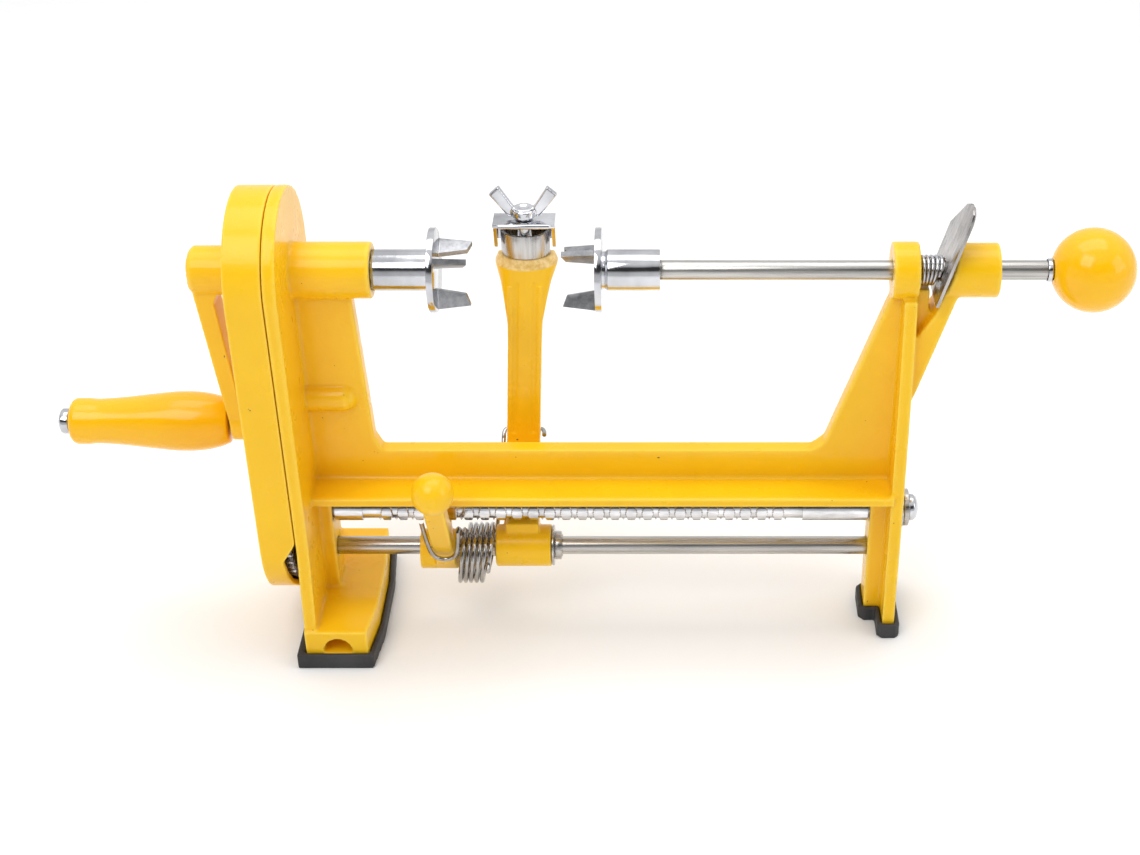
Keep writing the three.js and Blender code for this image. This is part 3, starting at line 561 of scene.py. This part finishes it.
def make_lead_screw(material):
    x0, x1 = span("lead_screw")
    bore, journal, radius = 2.4, 5.0, 6.5
    # The thick part lies between the journals. A relief groove is turned at each end of the thread.
    start, end = -1.9, 260.3
    thread_start, thread_end, relief = 19.5, 220.5, 7.4
    lead, width, cut_depth = 8.0, 2.4, 1.15
    root = radius - cut_depth
    sides, step, edge, corner = 80, 0.25, 0.1, 0.4
    rows = [(x0, bore), (x0, journal - corner), (x0 + 0.5, journal), (start, journal)]
    rows += [(start, radius - corner), (start + corner, radius), (thread_start - relief, radius)]
    rows += [(thread_start - relief + edge, root), (thread_start - edge, root)]
    count = int((thread_end - thread_start) / step)
    rows += [(thread_start + i * step, None) for i in range(count + 1)]
    rows += [(thread_end + edge, root), (thread_end + relief, root)]
    rows += [(thread_end + relief + edge, radius), (end - corner, radius), (end, radius - corner)]
    rows += [(end, journal), (x1 - 0.5, journal), (x1, journal - corner), (x1, bore)]
    vertices, faces = [], []
    for x, r in rows:
        for i in range(sides):
            turn = i / sides
            here = r if r is not None else radius - cut_depth * thread_depth(turn, x, lead, width)
            angle = 2 * math.pi * turn
            vertices.append((x, here * math.cos(angle), SCREW_Z + here * math.sin(angle)))
    for row in range(len(rows)):
        a, b = row * sides, ((row + 1) % len(rows)) * sides
        for i in range(sides):
            j = (i + 1) % sides
            faces.append((a + i, a + j, b + j, b + i))
    piece = mesh_piece("reversing_screw", vertices, faces, material)
    adopt(piece, "screw", "bright_steel", "lead_screw")


def lever_point(x, along, front):
    """A point by the ball lever: its distance up the lever and in front of it."""
    y = LEVER_ROOT_Y - LEVER_SIN * along - LEVER_COS * front
    z = GUIDE_Z + LEVER_ROOT_RISE + LEVER_COS * along - LEVER_SIN * front
    return (x, y, z)


def coil(x0, x1, radius, z, turns, start, per_turn, lean=0.0):
    """Points round a coil. The coils lean towards the top by this slope."""
    points = []
    count = round(turns * per_turn)
    for i in range(count + 1):
        angle = math.radians(start) + 2 * math.pi * i / per_turn
        x = x0 + (x1 - x0) * i / count
        up = radius * math.sin(angle)
        points.append((x + lean * up, radius * math.cos(angle), z + up))
    return points


def make_torsion_spring(material):
    """One wire in two lengths that meet in the coil."""
    sag, radius, gauge, lean = 4.5, 14.3, 1.12, 0.16
    coil_start, coil_middle, coil_end, per_turn = 58.9, 65.6, 73.2, 24
    loop = [
        lever_point(LEVER_X - 8.0, 34, 0.2),
        lever_point(LEVER_X - 7.5, 26, 2.0),
        lever_point(LEVER_X - 6.6, 18, 4.3),
        lever_point(LEVER_X - 5.2, 11.4, 6.2),
        lever_point(LEVER_X - 3.0, 7.4, 7.1),
        lever_point(LEVER_X + 0.8, 6.0, 7.4),
        lever_point(LEVER_X + 4.6, 7.4, 7.1),
        lever_point(LEVER_X + 6.8, 11.4, 6.2),
        lever_point(LEVER_X + 8.0, 18, 4.3),
        lever_point(LEVER_X + 9.0, 27, 1.0),
        (LEVER_X + 8.6, -14, GUIDE_Z + 19),
        (LEVER_X + 7.2, -6, GUIDE_Z + 11),
    ]
    centre = GUIDE_Z - sag
    first = coil(coil_start, coil_middle, radius, centre, 2.5, 90, per_turn, lean)
    path = spline([*loop, *first], 4)
    lever_side = wire("torsion_spring_front", path, gauge, material)
    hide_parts("torsion_spring")
    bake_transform(lever_side)
    second = coil(coil_middle, coil_end, radius, centre, 2.75, 270, per_turn, lean)
    hook = [
        (75.2, 15.0, centre + 4),
        (77.6, 19.0, GUIDE_Z + 12),
        (79.2, 24.0, GUIDE_Z + 27),
        (79.4, 28.0, GUIDE_Z + 36),
        (79.5, 32.6, GUIDE_Z + 42),
        (79.8, 36.6, GUIDE_Z + 44),
        (81.8, 38.6, GUIDE_Z + 44.4),
        (90.0, 39.0, GUIDE_Z + 44.4),
        (97.4, 38.6, GUIDE_Z + 44.4),
        (99.6, 36.0, GUIDE_Z + 44.6),
        (100.0, 32.0, GUIDE_Z + 44.8),
    ]
    path = spline([*second, *hook], 4)
    arm_side = wire("torsion_spring_rear", path, gauge, material)
    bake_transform(arm_side)


def make_lock_spring(material):
    x0, x1 = span("lock_spring")
    radius, gauge, plate_slope = 6.35, 0.78, 0.29
    path = coil(x0 + 0.9, x1 - 0.8, radius, SPINDLE_Z, 4.5, 0, 32)
    # The last coils lean over to lie against the plate.
    leaning = []
    for x, y, z in path:
        share = (x - path[0][0]) / (path[-1][0] - path[0][0])
        leaning.append(Vector((x + plate_slope * share * (z - SPINDLE_Z + radius), y, z)))
    piece = wire("lock_plate_spring", leaning, gauge, material)
    adopt(piece, "frame", "chrome", "lock_spring")
    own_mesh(piece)


# ---------------------------------------------------------------- scene
def main():
    make_camera()
    make_world()
    make_floor()
    for light in LIGHTS:
        area_light(*light)
    scene = bpy.context.scene
    scene.view_settings.view_transform = "Standard"
    scene.view_settings.look = "None"

    paint = paint_material()
    arm_top = span("peeling_arm", 2)[1]
    arm_paint = paint_material("yellow_enamel_worn", (arm_top - HEAD_BAND) * MM)
    plastic = plastic_material()
    chrome = chrome_material()
    fins = span("drive_fork")[1] - FIN_REACH, span("tail_fork")[0] + FIN_REACH
    fork_chrome = chrome_material("fork_chrome", *fins)
    steel = steel_material("ground_steel", (0.50, 0.485, 0.465))
    dark_steel = steel_material("gear_steel", (0.50, 0.50, 0.51), (400, 300, 300))
    plate_steel = steel_material("stainless_plate", (0.47, 0.45, 0.44), (300, 300, 60))
    blade_steel = steel_material("blade_steel", (0.50, 0.49, 0.48), (500, 500, 20))
    # The screw steel gets painted shade in its grooves.
    screw_steel = steel_material("bright_screw_steel", (0.72, 0.72, 0.74), (60, 300, 300), (0.1, 0.2), True)
    spring_steel = steel_material("spring_steel", (0.42, 0.405, 0.39), (200, 200, 200), (0.08, 0.16))
    bronze = steel_material("bronze", (0.45, 0.31, 0.15), (200, 200, 200))
    rubber = rubber_material()

    # Each casting's material, voxel and rounds of smoothing.
    castings = {
        "frame_casting": (paint, 0.9, 2),
        "gear_cover": (paint, 0.65, 2),
        "crank_arm": (paint, 0.55, 4),
        "peeling_arm": (arm_paint, 0.42, 9),
        "follower_lever": (paint, 0.6, 6),
        "left_foot_pad": (rubber, 0.7, 6),
        "right_foot_pad": (rubber, 0.6, 5),
        "wing_bolt": (chrome, 0.45, 5),
    }
    for node, (material, voxel, rounds) in castings.items():
        cast(node, material, voxel, rounds)

    # The bevel of each machined piece, and its material.
    machined = (
        (0.22, fork_chrome, "drive_fork tail_fork"),
        (0.25, chrome, "clamp_cap crank_washer knob_ferrule"),
        (0.3, chrome, "cover_screw_1 cover_screw_2 cover_screw_3 cover_screw_4"),
        (0.15, blade_steel, "blade"),
        (0.25, steel, "guide_rod tail_rod drive_spindle carriage_sleeve sleeve_ring arm_clip"),
        (0.25, steel, "screw_end_washer screw_lock_washer tail_fork_screw tail_rod_clip"),
        (0, dark_steel, "drive_gear idler_gear screw_gear idler_axle idler_clip"),
        (0.15, dark_steel, "fork_set_screw foot_screw_front foot_screw_rear"),
        (0.25, plate_steel, "locking_plate"),
        (0.2, bronze, "spindle_bush screw_bush_left screw_bush_right thread_follower"),
    )
    for bevel, material, nodes in machined:
        for node in nodes.split():
            dress(node, material, bevel)
    for node in ("crank_screw", "grip_bolt", "screw_end_screw"):
        dress(node, chrome, 0.5, 3)

    make_grip(plastic)
    make_ball(plastic)
    make_lead_screw(screw_steel)
    make_torsion_spring(spring_steel)
    make_lock_spring(chrome)


main()
